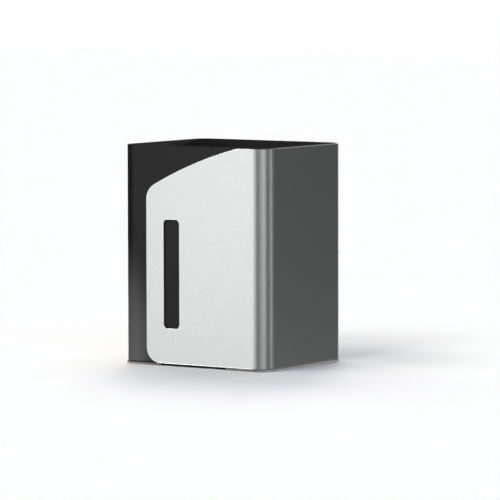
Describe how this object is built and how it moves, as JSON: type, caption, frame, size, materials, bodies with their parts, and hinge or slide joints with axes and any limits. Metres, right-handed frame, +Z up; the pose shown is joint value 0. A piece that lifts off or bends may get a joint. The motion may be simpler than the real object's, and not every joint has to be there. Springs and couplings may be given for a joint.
{
  "type": "pen holder",
  "caption": "Open-topped rectangular desk pen cup in bent sheet metal, with a swept silver cover sheet round its front and side, a slot window and a non-slip base pad.",
  "frame": {"origin": "middle of the underside of the base pad, on the surface that the cup stands on", "axes": "+Z up; +X to the right along the front, towards the side that the cover wraps; the front with the slot window faces -Y"},
  "size_m": [0.0812, 0.0666, 0.102],
  "materials": {
    "charcoal_coat": "charcoal powder coat with a fine grain",
    "black_coat": "black powder coat, matt",
    "satin_silver": "bead-blasted and silver anodised, satin",
    "base_foam": "grey closed-cell non-slip foam, matt",
    "bonding_tape": "double-sided adhesive tape"
  },
  "bodies": {
    "root": {"cup_body": "charcoal_coat", "floor_pan": "black_coat", "cover_plate": "satin_silver", "front_tape_left": "bonding_tape", "front_tape_middle": "bonding_tape", "front_tape_right": "bonding_tape", "side_tape_front": "bonding_tape", "side_tape_rear": "bonding_tape", "return_tape": "bonding_tape", "base_film": "bonding_tape", "base_pad": "base_foam"}
  },
  "joints": []
}
